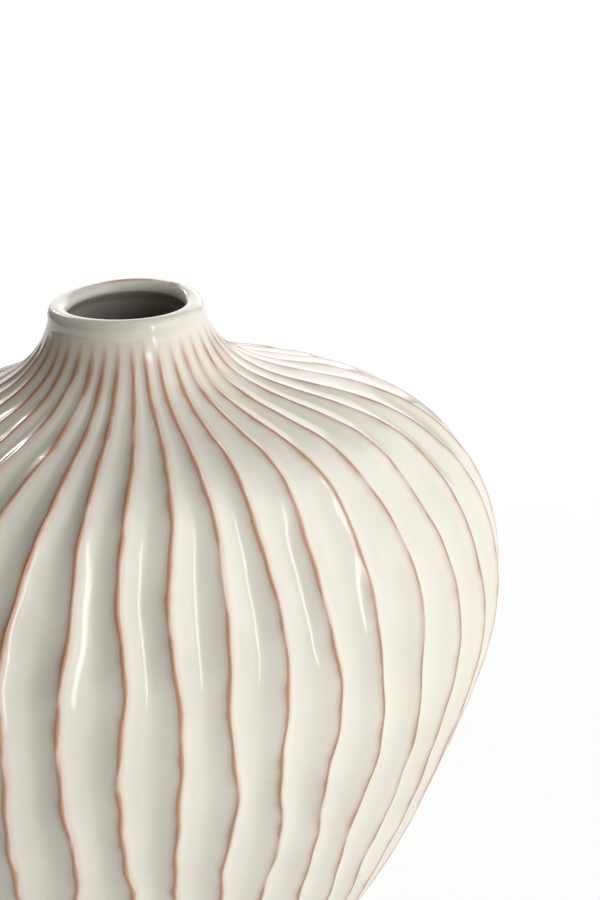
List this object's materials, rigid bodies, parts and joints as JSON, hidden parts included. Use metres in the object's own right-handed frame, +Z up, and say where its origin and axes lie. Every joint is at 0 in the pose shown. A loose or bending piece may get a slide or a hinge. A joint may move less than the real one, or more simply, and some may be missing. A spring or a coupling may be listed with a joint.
{
  "type": "fluted vase",
  "caption": "Oval high-shouldered ceramic vase with carved hollow flutes between wavy ridges, a small round rolled mouth and a bare oval foot ring.",
  "frame": {"origin": "middle of the resting face, under the middle of the foot ring", "axes": "+Z up through the mouth, X along the long way of the oval body, Y along its short way"},
  "size_m": [0.2563, 0.1718, 0.265],
  "materials": {
    "cream_glaze": "glossy half-clear cream glaze that breaks to caramel brown on the ridges",
    "bare_stoneware": "unglazed fired clay, matt and slightly sandy"
  },
  "bodies": {
    "root": {"fluted_wall": "cream_glaze", "fluted_shoulder": "cream_glaze", "rolled_collar": "cream_glaze", "floor_slab": "cream_glaze", "foot_ring": "bare_stoneware"}
  },
  "joints": []
}
